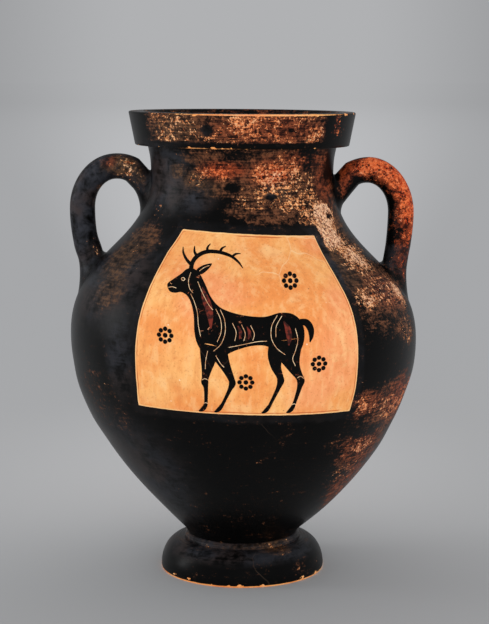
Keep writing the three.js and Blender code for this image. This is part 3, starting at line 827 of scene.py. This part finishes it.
def spline(points, closed, samples=8):
    """A curve through the points: between two of them a cubic whose slope at each is half the
    step from the point before to the point after."""
    p = np.array(points, float)
    if closed:
        a, b, c, d = (np.roll(p, s, 0)[:, None] for s in (1, 0, -1, -2))
    else:
        p = np.vstack([2 * p[0] - p[1], p, 2 * p[-1] - p[-2]])
        a, b, c, d = (p[i:len(p) - 3 + i][:, None] for i in range(4))
    t = (np.arange(samples) / samples)[None, :, None]
    q = 0.5 * (2 * b + (c - a) * t + (2 * a - 5 * b + 4 * c - d) * t ** 2
               + (3 * b - a - 3 * c + d) * t ** 3)
    q = q.reshape(-1, p.shape[1])
    return q if closed else np.vstack([q, p[-2]])


def brush_stroke(points):
    """The outline of a stroke: its centre line moved both ways by the half width."""
    q = spline(points, False)
    slope = unit(np.gradient(q[:, :2], axis=0))
    side = np.stack([-slope[:, 1], slope[:, 0]], axis=1) * q[:, 2:3]
    return np.vstack([q[:, :2] + side, (q[:, :2] - side)[::-1]])


def disc(x, y, radius, corners=18):
    """The outline of a dot."""
    angle = np.arange(corners) * 2 * math.pi / corners
    return np.stack([x + radius * np.cos(angle), y + radius * np.sin(angle)], axis=1)


def rosette(x, y):
    """Eight dots in a ring round a ninth."""
    dots = [disc(x, y, 1.9)]
    for angle in np.arange(8) * math.pi / 4:
        dots.append(disc(x + 5.0 * math.cos(angle), y + 5.0 * math.sin(angle), 1.8))
    return dots


def placed(outlines, panel):
    """The outlines mirrored, scaled and shifted to their place on the panel."""
    move = np.array([panel["shift"], 0.0])
    turn_over = np.array([panel["mirror"], 1.0])
    return [o * panel["scale"] * turn_over + move for o in outlines]


def anticlockwise(outline):
    """The outline, turned round if the area that it goes round comes out below zero."""
    x, y = outline[:, 0], outline[:, 1]
    area = np.sum(x * np.roll(y, -1) - y * np.roll(x, -1))
    return outline if area > 0 else outline[::-1]


def on_panel(flat, lift, facing):
    """Flat points laid on the body: across is X as the viewer sees it, up is the level."""
    level = GROUND_LEVEL + flat[:, 1]
    x = -facing * flat[:, 0]
    radius = outer_radius(level) + lift
    return settle(np.stack([x, facing * np.sqrt(radius ** 2 - x ** 2), level], axis=1))


def painted(name, outlines, facing, lift, grid, material):
    """A thin solid of the outlines' union, laid on the body.

    The outlines are cut into triangles with a grid of points inside them. The lifted copy of
    these is the top, a sunk copy the back, and a strip of quads closes each edge between them.
    """
    outlines = [anticlockwise(o) for o in outlines]
    corners = np.vstack(outlines)
    loops, start = [], 0
    for outline in outlines:
        loops.append(list(range(start, start + len(outline))))
        start += len(outline)
    if grid:
        low, high = corners.min(axis=0), corners.max(axis=0)
        x, y = np.meshgrid(np.arange(low[0], high[0], grid), np.arange(low[1], high[1], grid))
        corners = np.vstack([corners, np.stack([x.ravel(), y.ravel()], axis=1)])
    flat, _, cells, _, _, owners = delaunay_2d_cdt(corners.tolist(), [], loops, 0, 1e-5)
    flat = np.array([tuple(p) for p in flat])
    cells = np.array([cell for cell, owner in zip(cells, owners) if owner])
    used, cells = np.unique(cells, return_inverse=True)
    flat, cells = flat[used], cells.reshape(-1, 3)
    edges = np.vstack([cells[:, [0, 1]], cells[:, [1, 2]], cells[:, [2, 0]]])
    keys = np.sort(edges, axis=1)
    _, first, counts = np.unique(keys, axis=0, return_index=True, return_counts=True)
    rim = edges[first[counts == 1]]
    total = len(flat)
    strip = np.stack([rim[:, 1], rim[:, 0], rim[:, 0] + total, rim[:, 1] + total], axis=1)
    faces = cells.tolist() + (cells[:, ::-1] + total).tolist() + strip.tolist()
    points = np.vstack([on_panel(flat, lift, facing), on_panel(flat, -FIGURE_DEPTH, facing)])
    finish_piece(new_mesh(name, points, faces, 30.0), material, None)


def panel_pictures(name, panel, materials):
    """A stag with incised lines and bands of added red, and rosettes in the field round it."""
    body = [spline(STAG_BODY, True), spline(STAG_EAR, True)] + [brush_stroke(s) for s in STAG_LIMBS]
    eye = spline([(STAG_EYE[0] + 1.7 * math.cos(a), STAG_EYE[1] + 1.3 * math.sin(a))
                  for a in np.linspace(0, 2 * math.pi, 13)[:-1]], True, 3)
    pupil = 0.62 * (eye - eye.mean(axis=0)) + eye.mean(axis=0)
    lines = [brush_stroke([(x, y, LINE_HALF_WIDTH) for x, y in s]) for s in STAG_INCISED]
    red = [brush_stroke(s) for s in STAG_RED]
    field = [dot for x, y in panel["rosettes"] for dot in rosette(x, y)]
    layers = [
        ("_stag", placed(body, panel), FIGURE_LIFT, FIGURE_GRID, "figure", "black_slip"),
        ("_stag_red", placed(red, panel), LINE_LIFT - 0.01, FIGURE_GRID, "red", "red_fired_slip"),
        ("_stag_lines", placed(lines + [eye], panel), LINE_LIFT, None, "line", "painted_wall"),
        ("_stag_pupil", placed([pupil], panel), LINE_LIFT + 0.02, None, "figure", "black_slip"),
        ("_rosettes", field, FIGURE_LIFT, None, "figure", "black_slip"),
    ]
    for part, outlines, lift, grid, finish, slot in layers:
        painted(name + part, outlines, panel["facing"], lift, grid, materials[finish])


# Materials

def paint(red, green, blue):
    """A colour given as it looks on a screen, 0 to 255, made linear for the shaders."""
    def straight(value):
        share = value / 255.0
        return share / 12.92 if share <= 0.04045 else ((share + 0.055) / 1.055) ** 2.4
    return (straight(red), straight(green), straight(blue), 1.0)


class Nodes:
    """A node tree. Nodes are added with their inputs as plain values or as other outputs."""

    def __init__(self, tree):
        self.tree = tree

    def feed(self, node, inputs):
        """Each input of the node linked to an output, or set to a plain value."""
        for key, value in inputs.items():
            if isinstance(value, bpy.types.NodeSocket):
                self.tree.links.new(value, node.inputs[key])
            else:
                node.inputs[key].default_value = value

    def add(self, kind, inputs=None, **settings):
        """A new node with its settings and its inputs."""
        node = self.tree.nodes.new(kind)
        for name, value in settings.items():
            setattr(node, name, value)
        self.feed(node, inputs or {})
        return node

    def math(self, operation, a, b=0.0):
        """One step of arithmetic on two numbers."""
        return self.add("ShaderNodeMath", {0: a, 1: b}, operation=operation).outputs[0]

    def plus(self, *terms):
        """The sum of the terms."""
        total = terms[0]
        for term in terms[1:]:
            total = self.math("ADD", total, term)
        return total

    def times(self, a, b):
        """The product of two numbers."""
        return self.math("MULTIPLY", a, b)

    def inverse(self, a):
        """1 less the number."""
        return self.math("SUBTRACT", 1.0, a)

    def step(self, value, low, high):
        """0 below low, 1 above high, smooth between them."""
        inputs = {"Value": value, "From Min": low, "From Max": high}
        node = self.add("ShaderNodeMapRange", inputs, interpolation_type="SMOOTHSTEP")
        return node.outputs["Result"]

    def spread(self, value, low, high):
        """A number from 0 to 1 carried to low to high."""
        node = self.add("ShaderNodeMapRange", {"Value": value, "To Min": low, "To Max": high})
        return node.outputs["Result"]

    def mix(self, share, a, b):
        """Two colours mixed."""
        return self.add("ShaderNodeMix", {0: share, 6: a, 7: b}, data_type="RGBA").outputs[2]

    def layered(self, colour, layers):
        """The colour under layers of paint: where each lies, its share there and its tone."""
        for place, share, tone in layers:
            colour = self.mix(self.times(place, share), colour, paint(*tone))
        return colour

    def blend(self, share, a, b):
        """Two numbers mixed."""
        return self.add("ShaderNodeMix", {0: share, 2: a, 3: b}).outputs[0]

    def vector(self, operation, a, b=(0.0, 0.0, 0.0)):
        """One step of arithmetic on two vectors, as the outputs Vector and Value."""
        return self.add("ShaderNodeVectorMath", {0: a, 1: b}, operation=operation).outputs

    def place(self, scale=(1.0, 1.0, 1.0), shift=(0.0, 0.0, 0.0)):
        """Object coordinates, stretched and shifted."""
        source = self.add("ShaderNodeTexCoord").outputs["Object"]
        node = self.add("ShaderNodeMapping", {"Vector": source, "Location": shift, "Scale": scale})
        return node.outputs["Vector"]

    def noise(self, vector, scale, detail=3.0, roughness=0.55, distortion=0.0):
        """A cloudy number that stays mostly between 0.3 and 0.7."""
        inputs = {"Vector": vector, "Scale": scale, "Detail": detail, "Roughness": roughness,
                  "Distortion": distortion}
        return self.add("ShaderNodeTexNoise", inputs).outputs["Fac"]

    def mark(self, name):
        """A number that the piece carries at each vertex."""
        return self.add("ShaderNodeAttribute", attribute_name=name).outputs["Fac"]

    def group(self, tree, inputs):
        """The outputs of a node group that is fed with the inputs."""
        return self.add("ShaderNodeGroup", inputs, node_tree=tree).outputs


def new_group(name, inputs):
    """An empty node group with number inputs and the outputs Color, Roughness and Height."""
    tree = bpy.data.node_groups.new(name, "ShaderNodeTree")
    for socket in inputs:
        tree.interface.new_socket(socket, in_out="INPUT", socket_type="NodeSocketFloat")
    for socket, kind in (("Color", "Color"), ("Roughness", "Float"), ("Height", "Float")):
        tree.interface.new_socket(socket, in_out="OUTPUT", socket_type="NodeSocket" + kind)
    nodes = Nodes(tree)
    return nodes, nodes.add("NodeGroupInput").outputs, nodes.add("NodeGroupOutput")


def hairlines(nodes, scale, width, kept):
    """Thin crooked lines: the borders of distorted cells, kept where a slow noise is high."""
    place = nodes.place()
    bent = nodes.add("ShaderNodeTexNoise", {"Vector": place, "Scale": scale * 0.8, "Detail": 3.0})
    crooked = nodes.vector("MULTIPLY", bent.outputs["Color"], (0.05, 0.05, 0.05))["Vector"]
    moved = nodes.vector("ADD", place, crooked)["Vector"]
    cells = nodes.add("ShaderNodeTexVoronoi", {"Vector": moved, "Scale": scale}, feature="DISTANCE_TO_EDGE")
    line_mask = nodes.inverse(nodes.step(cells.outputs["Distance"], width * 0.3, width))
    return nodes.times(line_mask, nodes.step(nodes.noise(place, scale * 0.55, 2.0), kept, kept + 0.08))


def round_dots(nodes, place, scale, radii, share):
    """Round dots, one in some of the cells of a grid, with radii as shares of a cell."""
    cells = nodes.add("ShaderNodeTexVoronoi", {"Vector": place, "Scale": scale}, feature="F1").outputs
    chance = nodes.add("ShaderNodeSeparateColor", {"Color": cells["Color"]}).outputs
    radius = nodes.spread(chance["Red"], *radii)
    inside = nodes.step(nodes.math("SUBTRACT", cells["Distance"], radius), 0.04, 0.0)
    return nodes.times(inside, nodes.math("LESS_THAN", chance["Green"], share))


def slip_group():
    """Glossy black slip that thins to a brown film, shows flecks of clay, and greys where dulled and where
    sheen is painted.

    The film shows where the Filmed mark plus patches and the wheel's level streaks is high. The
    Worn mark, spread the same way, lowers the threshold that a fine noise has to pass to be
    a fleck. High Worn and Bleached together lay the clay bare. Round dots and specks stay black.
    """
    inputs = ["Filmed", "Worn", "Reddened", "Bleached", "Greyed", "Protected", "Rolled"]
    nodes, entry, leave = new_group("Worn slip with painted sheen", inputs)
    place = nodes.place()
    slow = nodes.noise(place, 24.0, 3.0)
    patch = nodes.noise(place, 88.0, 5.0, 0.68, 0.4)
    aside = nodes.place(shift=(0.71, 0.23, 0.47))
    wheel = nodes.noise(nodes.place((1.0, 1.0, 6.5)), 62.0, 5.0, 0.68)
    wheel = nodes.blend(entry["Rolled"], wheel, nodes.noise(aside, 96.0, 5.0, 0.68))
    fine = nodes.noise(place, 420.0, 3.0, 0.62, 0.8)
    tint = nodes.noise(nodes.place(shift=(0.31, 0.17, 0.05)), 230.0, 4.0, 0.66)
    speck = nodes.noise(nodes.place(shift=(0.11, 0.57, 0.35)), 560.0, 2.0, 0.55)
    lines = nodes.noise(nodes.place((1.0, 1.0, 16.0)), 46.0, 3.0, 0.6)
    lines = nodes.blend(entry["Rolled"], lines, nodes.noise(aside, 130.0, 3.0, 0.6))
    held = nodes.inverse(nodes.times(entry["Protected"], 0.7))

    grainy = nodes.times(nodes.spread(fine, -1.0, 1.0), nodes.spread(entry["Greyed"], 0.70, 0.30))
    filmed = nodes.plus(nodes.times(entry["Filmed"], held), nodes.spread(patch, -0.70, 0.70),
                        nodes.spread(wheel, -0.60, 0.60), nodes.spread(slow, -0.25, 0.25), grainy)
    film = nodes.step(filmed, 0.24, nodes.spread(entry["Greyed"], 0.66, 1.30))
    worn = nodes.times(entry["Worn"], held)
    density = nodes.plus(worn, nodes.spread(patch, -0.84, 0.76), nodes.spread(wheel, -0.40, 0.40),
                         nodes.spread(slow, -0.30, 0.30), nodes.spread(lines, -0.30, 0.30))
    density = nodes.math("MAXIMUM", nodes.math("MINIMUM", density, 1.0), 0.0)
    passed = nodes.plus(fine, nodes.spread(density, -0.81, -0.37))
    flecks = nodes.step(passed, -0.010, 0.020)
    laid_bare = nodes.plus(worn, nodes.times(entry["Bleached"], 0.55), nodes.spread(patch, -0.45, 0.45),
                           nodes.spread(tint, -0.45, 0.45))
    laid_bare = nodes.step(laid_bare, 1.10, 1.34)
    dots = nodes.math("MAXIMUM", round_dots(nodes, place, 128.0, (0.03, 0.17), 0.50),
                      round_dots(nodes, aside, 215.0, (0.09, 0.23), 0.42))
    left_on = nodes.times(nodes.step(speck, 0.56, 0.60), nodes.spread(entry["Rolled"], 1.0, 0.4))
    remains = nodes.math("MAXIMUM", dots, left_on)
    bare = nodes.math("MAXIMUM", flecks, laid_bare)
    bare = nodes.times(bare, nodes.inverse(nodes.times(remains, 0.92)))
    pale = nodes.math("MAXIMUM", laid_bare, nodes.times(nodes.step(tint, 0.46, 0.62), entry["Bleached"]))

    black = nodes.mix(slow, paint(2, 3, 3), paint(10, 9, 9))
    # Where greyed, the black is painted grey in mottled patches: dulled slip, and in some spots painted
    # sheen of reflected light, bluish in places. The panel's contour stripe greys in patches too.
    mottled = nodes.plus(patch, nodes.spread(wheel, -0.20, 0.20), nodes.spread(lines, -0.10, 0.10))
    bloom_and_sheen = nodes.times(entry["Greyed"], nodes.step(mottled, 0.30, 0.62))
    bloom_and_sheen = nodes.plus(bloom_and_sheen, nodes.times(entry["Protected"], nodes.spread(patch, -0.10, 0.32)))
    matt_and_sheen_grey = nodes.mix(nodes.step(slow, 0.42, 0.58), paint(76, 66, 66), paint(66, 68, 76))
    black = nodes.mix(nodes.times(bloom_and_sheen, 0.62), black, matt_and_sheen_grey)
    light = nodes.step(nodes.plus(tint, nodes.spread(lines, -0.30, 0.30)), 0.34, 0.66)

    def toned(dark, pale):
        return nodes.mix(light, paint(*dark), paint(*pale))

    brown = toned((28, 17, 13), (116, 72, 48))
    rusty = toned((58, 18, 10), (168, 66, 30))
    olive = toned((44, 36, 30), (104, 80, 54))
    clay = toned((150, 78, 42), (244, 164, 104))
    ruddy = toned((176, 48, 18), (228, 90, 38))
    brown = nodes.mix(nodes.times(entry["Greyed"], 0.7), brown, olive)
    brown = nodes.mix(nodes.times(entry["Reddened"], 0.8), brown, rusty)
    clay = nodes.mix(nodes.times(entry["Reddened"], 0.8), clay, ruddy)
    chalky = nodes.mix(nodes.step(fine, 0.38, 0.60), paint(170, 106, 76), paint(255, 206, 168))
    clay = nodes.mix(nodes.times(pale, 0.9), clay, chalky)
    glint = nodes.times(nodes.step(speck, 0.42, 0.38), nodes.spread(entry["Reddened"], 0.8, 0.15))
    clay = nodes.mix(glint, clay, paint(255, 206, 154))
    left_in_film = nodes.math("MAXIMUM", dots, nodes.step(speck, 0.60, 0.64))
    colour = nodes.mix(nodes.times(film, nodes.inverse(nodes.times(left_in_film, 0.75))), black, brown)
    colour = nodes.mix(bare, colour, clay)
    scratch = nodes.times(hairlines(nodes, 17.0, 0.006, 0.60), nodes.inverse(entry["Protected"]))
    colour = nodes.mix(nodes.times(scratch, 0.22), colour, paint(104, 82, 66))

    gloss = nodes.spread(slow, 0.26, 0.44)
    rough = nodes.plus(gloss, nodes.times(film, 0.12), nodes.times(bare, 0.24), nodes.times(bloom_and_sheen, 0.10))
    height = nodes.plus(
        nodes.times(bare, -0.07),
        nodes.times(film, -0.03),
        nodes.times(fine, 0.03),
        nodes.times(nodes.noise(nodes.place((1.0, 1.0, 12.0)), 26.0, 3.0), 0.045),
        nodes.times(scratch, -0.04),
    )
    nodes.feed(leave, {"Color": colour, "Roughness": rough, "Height": height})
    return nodes.tree


def clay_group():
    """Burnished orange clay: warm and rosy clouds, brushed streaks, fine grain, specks and hairlines.

    Clay on the inside and underneath is darker, with the rings of the potter's fingers, which follow the
    sine of the distance from a point up on the axis.
    """
    nodes, entry, leave = new_group("Reserved clay", ["Inner_clay"])
    place = nodes.place()
    cloud = nodes.noise(place, 20.0, 4.0, 0.58)
    rose = nodes.noise(nodes.place(shift=(0.4, 0.1, 0.7)), 11.0, 3.0, 0.5)
    brushed = nodes.noise(nodes.place((1.0, 1.0, 0.3)), 170.0, 4.0, 0.6)
    grain = nodes.noise(place, 620.0, 2.0, 0.5)
    mottle = nodes.noise(nodes.place(shift=(0.2, 0.9, 0.3)), 52.0, 5.0, 0.68, 0.6)
    cells = nodes.add("ShaderNodeTexVoronoi", {"Vector": place, "Scale": 150.0}, feature="F1")
    chance = nodes.add("ShaderNodeSeparateColor", {"Color": cells.outputs["Color"]}).outputs
    dot = nodes.inverse(nodes.step(cells.outputs["Distance"], 0.06, 0.13))
    crack = hairlines(nodes, 21.0, 0.012, 0.52)
    from_point = nodes.vector("DISTANCE", place, (0.0, 0.0, 0.43))["Value"]
    uneven = nodes.plus(nodes.times(from_point, 820.0), nodes.times(cloud, 3.0))
    rings = nodes.times(nodes.math("SINE", uneven), entry["Inner_clay"])
    colour = nodes.mix(nodes.step(cloud, 0.36, 0.64), paint(244, 152, 82), paint(253, 186, 114))
    colour = nodes.layered(colour, [
        (nodes.step(rose, 0.46, 0.62), 0.7, (248, 160, 110)),
        (nodes.step(mottle, 0.52, 0.68), 0.55, (255, 202, 140)),
        (nodes.step(mottle, 0.46, 0.30), 0.45, (236, 138, 72)),
        (nodes.step(brushed, 0.50, 0.66), 0.35, (255, 206, 146)),
        (nodes.step(brushed, 0.50, 0.34), 0.32, (222, 130, 70)),
        (nodes.step(grain, 0.58, 0.70), 0.40, (206, 118, 66)),
        (nodes.times(dot, nodes.step(chance["Red"], 0.955, 0.96)), 0.8, (104, 56, 36)),
        (nodes.times(dot, nodes.step(chance["Green"], 0.94, 0.95)), 0.8, (255, 232, 200)),
        (crack, 0.4, (255, 221, 172)),
        # darker on the inside and underneath
        (entry["Inner_clay"], 0.75, (156, 90, 56)),
        (nodes.step(rings, 0.0, 1.0), 0.35, (96, 52, 34)),
    ])
    rough = nodes.spread(cloud, 0.50, 0.66)
    height = nodes.plus(nodes.times(grain, 0.025), nodes.times(brushed, 0.05), nodes.times(crack, -0.04),
                        nodes.times(rings, 0.30))
    nodes.feed(leave, {"Color": colour, "Roughness": rough, "Height": height})
    return nodes.tree


SLIP = slip_group()
CLAY = clay_group()
SLIP_GLOSS = 0.10


def new_material(name, gloss):
    """A material with one Principled shader, whose gloss level is set on its own socket."""
    material = bpy.data.materials.new(name)
    material.use_nodes = True
    nodes = Nodes(material.node_tree)
    shader = material.node_tree.nodes["Principled BSDF"]
    shader.inputs["Specular IOR Level"].default_value = gloss
    return material, nodes, shader


def cover(nodes, shader, colour, rough, height):
    """Colour, roughness and a height in millimetres, which a bump makes into a normal."""
    bump = nodes.add("ShaderNodeBump", {"Height": height, "Strength": 1.0, "Distance": MM})
    nodes.feed(shader, {"Base Color": colour, "Roughness": rough, "Normal": bump.outputs["Normal"]})


def wall_finish(name, chips=0.0, contour=0.0, rolled=0.0):
    """Slip with reserved clay where the bare mark, in millimetres, is above zero.

    Chips widen the clay along its border. A contour is a panel's second coat of slip, a stripe
    just outside the border that wears less, with the painter's guide line just inside it.
    Rolled clay wears in patches, thrown clay also along the wheel's streaks.
    """
    material, nodes, shader = new_material(name, SLIP_GLOSS)
    place = nodes.place()
    wobble = nodes.spread(nodes.noise(place, 120.0, 3.0), -0.32, 0.32)
    chipped = nodes.times(nodes.step(nodes.noise(place, 150.0, 2.0), 0.60, 0.66), chips)
    inset = nodes.plus(nodes.mark("bare"), wobble, chipped)
    mask = nodes.step(inset, -0.10, 0.10)
    brushed = nodes.plus(inset, nodes.spread(nodes.noise(place, 70.0, 4.0), -4.0, 4.0))
    protected = nodes.times(nodes.step(brushed, -9.0, -5.0), contour)
    marks_in = {mark.capitalize(): nodes.mark(mark) for mark in WALL_WEAR_AND_SHEEN if mark != "kept"}
    slip = nodes.group(SLIP, {**marks_in, "Protected": protected, "Rolled": rolled})
    clay = nodes.group(CLAY, {"Inner_clay": nodes.mark("dull")})
    from_line = nodes.math("ABSOLUTE", nodes.math("SUBTRACT", inset, 1.7))
    guide = nodes.times(nodes.inverse(nodes.step(from_line, 0.25, 0.6)), 0.8 * contour)
    guide = nodes.times(guide, nodes.step(nodes.noise(place, 34.0, 2.0), 0.40, 0.55))
    clay_colour = nodes.mix(guide, clay["Color"], paint(196, 98, 50))
    rim_pale = nodes.times(nodes.step(inset, 0.95, 0.65), 0.6 * contour)
    clay_colour = nodes.mix(rim_pale, clay_colour, paint(255, 212, 150))
    colour = nodes.mix(mask, slip["Color"], clay_colour)
    rough = nodes.blend(mask, slip["Roughness"], clay["Roughness"])
    step_up = nodes.times(nodes.inverse(mask), 0.06)
    height = nodes.blend(mask, slip["Height"], clay["Height"])
    cover(nodes, shader, colour, rough, nodes.plus(height, step_up))
    return material


def figure_finish(name, worn, reddened):
    """The slip of the painted figures, with sparse flecks worn off."""
    material, nodes, shader = new_material(name, SLIP_GLOSS)
    slip = nodes.group(SLIP, {"Worn": worn, "Reddened": reddened, "Bleached": 0.5})
    cover(nodes, shader, slip["Color"], slip["Roughness"], slip["Height"])
    return material


def powdery_finish(name, main, other, scale):
    """Matt colour in two tones with a fine grain: added red, and clay laid bare by a point."""
    material, nodes, shader = new_material(name, 0.3)
    cloud = nodes.noise(nodes.place(), scale, 4.0, 0.65)
    grain = nodes.noise(nodes.place(), 700.0, 2.0)
    colour = nodes.mix(nodes.step(cloud, 0.40, 0.62), main, other)
    cover(nodes, shader, colour, nodes.spread(cloud, 0.6, 0.8), nodes.times(grain, 0.03))
    return material


FINISHES = {
    "foot": wall_finish("foot black slip", chips=2.6),
    "body": wall_finish("body black slip"),
    "panel": wall_finish("painted wall", contour=1.0),
    "worn": wall_finish("worn slip", chips=0.9),
    "left": wall_finish("handle black slip", rolled=1.0),
    "right": wall_finish("handle red slip", rolled=1.0),
    "figure": figure_finish("figure slip", 0.15, 0.6),
    "line": powdery_finish("incised line", paint(246, 212, 170), paint(208, 150, 104), 240.0),
    "red": powdery_finish("added red", paint(126, 42, 26), paint(52, 18, 14), 260.0),
}


# The assembly

finish_piece(foot(), FINISHES["foot"], "foot")
finish_piece(foot_coil(), FINISHES["worn"], "foot_coil")
finish_piece(lower_body(), FINISHES["body"], "lower_body")
finish_piece(upper_body(), FINISHES["panel"], "upper_body")
finish_piece(neck(), FINISHES["worn"], "neck")
finish_piece(lip(), FINISHES["worn"], "lip")
finish_piece(handle("left"), FINISHES["left"], "handle_left")
finish_piece(handle("right"), FINISHES["right"], "handle_right")
for panel_name, panel in PANELS.items():
    panel_pictures(panel_name, panel, FINISHES)


# Studio

CAMERA_PLACE = (0.002, -1.461, 0.4343)
CAMERA_DIP = math.radians(8.10)
CAMERA_LENS = 97.73
TARGET = Vector((0.0, 0.0, 0.22))
SURROUND_SEEN = (paint(155, 156, 158), paint(176, 177, 179))  # all round, and behind the vessel
SURROUND_CAST = (paint(255, 255, 255), paint(214, 214, 214))  # level with the vessel, and overhead
FLOOR_SEEN = (paint(172, 173, 175), paint(182, 183, 185))  # before the vessel, and behind it
# A painted pool of light on the floor: a paler place close behind the vessel.
FLOOR_PAINTED_POOL = paint(198, 199, 201)  # a paler place close behind it
FLOOR_CAST = paint(235, 235, 235)
FLOOR_RADIUS = 60.0


def seen_directly(nodes):
    """1 for what the eye, a mirror or a pane shows, 0 for the light that falls on the vessel."""
    path = nodes.add("ShaderNodeLightPath").outputs
    shown = nodes.math("MAXIMUM", path["Is Glossy Ray"], path["Is Transmission Ray"])
    return nodes.math("MAXIMUM", path["Is Camera Ray"], shown)


def surround_tone(nodes):
    """The surround's tone by compass direction, a little lighter round +Y, behind the vessel."""
    level = nodes.vector("MULTIPLY", nodes.place(), (1.0, 1.0, 0.0))["Vector"]
    ahead = nodes.vector("NORMALIZE", level)["Vector"]
    aside = nodes.vector("DISTANCE", ahead, (0.0, 1.0, 0.0))["Value"]
    return nodes.mix(nodes.step(aside, 0.18, 0.06), *SURROUND_SEEN)


def studio_floor():
    """A plain pale floor, a wide disc that fades into the surround's tone as it gets further, with a painted
    pool of light close behind the vessel.
    """
    columns, rows = 96, 24
    reach = FLOOR_RADIUS * np.linspace(0.0, 1.0, rows + 1)[1:, None] ** 3 / MM
    angle = np.arange(columns)[None, :] * 2 * math.pi / columns
    grid = np.stack([reach * np.cos(angle), reach * np.sin(angle), 0 * reach * angle], axis=-1)
    points = np.vstack([[(0.0, 0.0, 0.0)], grid.reshape(-1, 3)])
    faces = fan(0, 1, columns, True)
    faces += (ring_quads(rows, columns, False)[:, ::-1] + 1).tolist()
    floor = new_mesh("studio_floor", points, faces)
    material, nodes, shader = new_material("pale floor", 0.0)
    from_front = nodes.vector("DISTANCE", nodes.place(), (0.0, -0.25, 0.0))["Value"]
    from_painted_pool = nodes.vector("DISTANCE", nodes.place((1.6, 1.0, 1.0)), (-0.03, 0.35, 0.0))["Value"]
    tone = nodes.mix(nodes.step(from_front, 0.16, 0.52), *FLOOR_SEEN)
    # The painted pool of light, paler close behind the vessel.
    tone = nodes.mix(nodes.step(from_painted_pool, 0.60, 0.06), tone, FLOOR_PAINTED_POOL)
    tone = nodes.mix(seen_directly(nodes), FLOOR_CAST, tone)
    nodes.feed(shader, {"Base Color": tone, "Roughness": 0.9})
    share = nodes.times(nodes.step(from_front, 0.50, 2.0), seen_directly(nodes))
    strength = nodes.spread(nodes.step(from_front, 24.0, 3.0), 1.0, 1.16)
    glow = nodes.add("ShaderNodeEmission", {"Color": surround_tone(nodes), "Strength": strength}).outputs[0]
    both = nodes.add("ShaderNodeMixShader", {0: share, 1: shader.outputs[0], 2: glow}).outputs[0]
    nodes.feed(material.node_tree.nodes["Material Output"], {"Surface": both})
    floor.data.materials.append(material)


def studio_world():
    """An even grey surround that casts plain light, a little less of it from overhead."""
    world = bpy.data.worlds.new("studio surround")
    bpy.context.scene.world = world
    world.use_nodes = True
    nodes = Nodes(world.node_tree)
    upward = nodes.add("ShaderNodeSeparateXYZ", {0: nodes.place()}).outputs["Z"]
    cast = nodes.mix(nodes.step(upward, 0.1, 0.9), *SURROUND_CAST)
    tone = nodes.mix(seen_directly(nodes), cast, surround_tone(nodes))
    nodes.feed(world.node_tree.nodes["Background"], {"Color": tone, "Strength": 1.0})


def softbox(name, azimuth, elevation, distance, size, power):
    """An area lamp that faces the vessel. Azimuth 0 is the camera's side, and grows towards +X."""
    lamp = bpy.data.lights.new(name, "AREA")
    lamp.shape = "RECTANGLE"
    lamp.size, lamp.size_y = size
    lamp.energy = power
    holder = new_object(name, lamp)
    a, e = math.radians(azimuth), math.radians(elevation)
    way = Vector((math.sin(a) * math.cos(e), -math.cos(a) * math.cos(e), math.sin(e)))
    holder.location = TARGET + way * distance
    holder.rotation_euler = way.to_track_quat("Z", "Y").to_euler()
    return holder


def studio_camera():
    """The photograph's viewpoint: a long lens, level with the lip and dipped a little."""
    lens = bpy.data.cameras.new("camera")
    lens.lens = CAMERA_LENS
    lens.sensor_width = 36.0
    holder = new_object("camera", lens)
    holder.location = CAMERA_PLACE
    holder.rotation_euler = (math.pi / 2 - CAMERA_DIP, 0.0, 0.0)
    bpy.context.scene.camera = holder


studio_floor()
studio_world()
softbox("left strip", -94, 14, 2.6, (0.32, 1.2), 10.0)
softbox("front screen", 10, 8, 3.2, (2.6, 1.0), 26.0).visible_glossy = False
studio_camera()
bpy.context.scene.view_settings.view_transform = "Standard"
